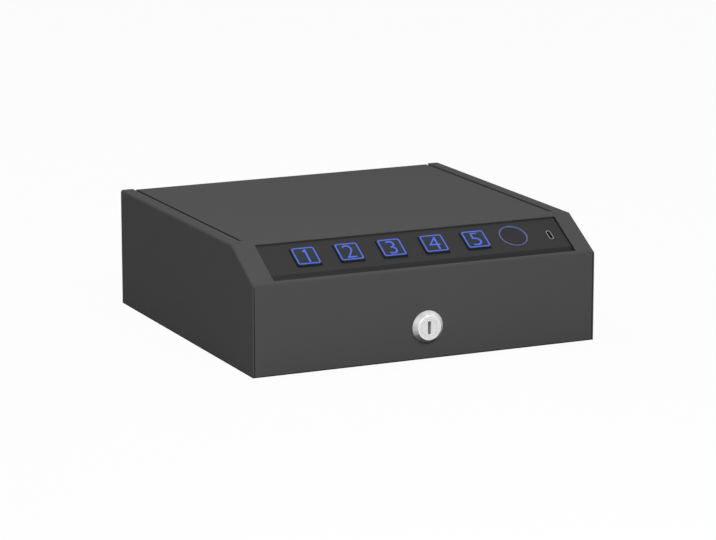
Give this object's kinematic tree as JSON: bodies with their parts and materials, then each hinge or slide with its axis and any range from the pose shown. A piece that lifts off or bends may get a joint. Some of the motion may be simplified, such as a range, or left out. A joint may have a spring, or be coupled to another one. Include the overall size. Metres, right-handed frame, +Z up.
{
  "type": "quick-access lid safe",
  "caption": "low sheet-steel safe with a hinged top lid, a sloping lit keypad with a fingerprint reader and a charging port, and a key lock on the front",
  "frame": {"origin": "centre of the footprint of the whole object, on the surface that it stands on", "axes": "+X to the right seen from the keypad side, +Y to the rear hinge, +Z up"},
  "size_m": [0.3, 0.2886, 0.098],
  "materials": {
    "case_paint": "fine matt powder coat, charcoal",
    "lid_paint": "fine matt powder coat, charcoal",
    "plated_steel": "bright zinc plate",
    "spring_steel": "drawn spring wire",
    "bright_metal": "satin nickel",
    "brass": "plain brass",
    "copper_wire": "lacquered copper winding",
    "rubber": "moulded black rubber",
    "panel_plastic": "fine matt moulding, charcoal",
    "key_plastic": "satin moulding with a lit frame and numeral",
    "black_plastic": "plain black moulding",
    "lit_plastic": "translucent ring lit blue-violet",
    "sensor_face": "smooth dark sensor face",
    "board": "green solder mask",
    "cell_jacket": "plain grey cell jacket",
    "foam": "closed-cell foam mat"
  },
  "bodies": {
    "case": {"case_shell": "case_paint", "rear_panel": "case_paint", "base_plate": "case_paint", "inner_cover": "case_paint", "keypad_bezel": "panel_plastic", "circuit_board": "board", "bezel_nut_1": "plated_steel", "bezel_nut_2": "plated_steel", "bezel_nut_3": "plated_steel", "bezel_nut_4": "plated_steel", "board_screw_1": "plated_steel", "board_screw_2": "plated_steel", "board_screw_3": "plated_steel", "board_screw_4": "plated_steel", "key_switch_1": "black_plastic", "key_switch_2": "black_plastic", "key_switch_3": "black_plastic", "key_switch_4": "black_plastic", "key_switch_5": "black_plastic", "fingerprint_ring": "lit_plastic", "fingerprint_sensor": "sensor_face", "charging_port": "bright_metal", "port_tongue": "black_plastic", "lock_housing": "bright_metal", "lock_nut": "plated_steel", "hinge_bracket_1": "plated_steel", "hinge_bracket_2": "plated_steel", "hinge_rod": "plated_steel", "lid_spring_1": "spring_steel", "lid_spring_2": "spring_steel", "lid_bumper_1": "rubber", "lid_bumper_2": "rubber", "solenoid_frame": "plated_steel", "solenoid_coil": "copper_wire", "latch_bracket": "plated_steel", "bolt_guide": "black_plastic", "battery_tray": "black_plastic", "battery_door": "black_plastic", "battery_1": "cell_jacket", "battery_2": "cell_jacket", "battery_3": "cell_jacket", "battery_4": "cell_jacket", "foam_mat": "foam"},
    "lid": {"lid_plate": "lid_paint", "striker": "plated_steel", "hinge_ear_1": "plated_steel", "hinge_ear_2": "plated_steel"},
    "first_key": {"key_1": "key_plastic"},
    "second_key": {"key_2": "key_plastic"},
    "third_key": {"key_3": "key_plastic"},
    "fourth_key": {"key_4": "key_plastic"},
    "fifth_key": {"key_5": "key_plastic"},
    "plug": {"lock_plug": "bright_metal", "lock_cam": "plated_steel", "cam_nut": "brass"},
    "link": {"release_link": "plated_steel"},
    "latch": {"latch_bolt": "plated_steel", "solenoid_plunger": "plated_steel"}
  },
  "joints": [
    {"name": "lid_hinge", "type": "hinge", "parent": "case", "child": "lid", "pos_m": [0, 0.13925, 0.093], "axis": [-1, 0, 0], "range_deg": [0, 80]},
    {"name": "first_key_press", "type": "slide", "parent": "case", "child": "first_key", "axis": [0, 0.4961, -0.8682], "range_m": [0, 0.001], "stiffness_N_per_m": 600},
    {"name": "second_key_press", "type": "slide", "parent": "case", "child": "second_key", "axis": [0, 0.4961, -0.8682], "range_m": [0, 0.001], "stiffness_N_per_m": 600},
    {"name": "third_key_press", "type": "slide", "parent": "case", "child": "third_key", "axis": [0, 0.4961, -0.8682], "range_m": [0, 0.001], "stiffness_N_per_m": 600},
    {"name": "fourth_key_press", "type": "slide", "parent": "case", "child": "fourth_key", "axis": [0, 0.4961, -0.8682], "range_m": [0, 0.001], "stiffness_N_per_m": 600},
    {"name": "fifth_key_press", "type": "slide", "parent": "case", "child": "fifth_key", "axis": [0, 0.4961, -0.8682], "range_m": [0, 0.001], "stiffness_N_per_m": 600},
    {"name": "bolt_draw", "type": "slide", "parent": "case", "child": "latch", "axis": [0, -1, 0], "range_m": [0, 0.008]},
    {"name": "link_lift", "type": "slide", "parent": "case", "child": "link", "axis": [0, 0, 1], "range_m": [0, 0.0085]},
    {"name": "key_turn", "type": "hinge", "parent": "case", "child": "plug", "pos_m": [0, -0.13975, 0.026], "axis": [0, 1, 0], "range_deg": [0, 90]}
  ],
  "couplings": [
    {"joint": "link_lift", "follows": "bolt_draw", "ratio": 1},
    {"joint": "key_turn", "follows": "bolt_draw", "rad_per_m": 196.35}
  ]
}
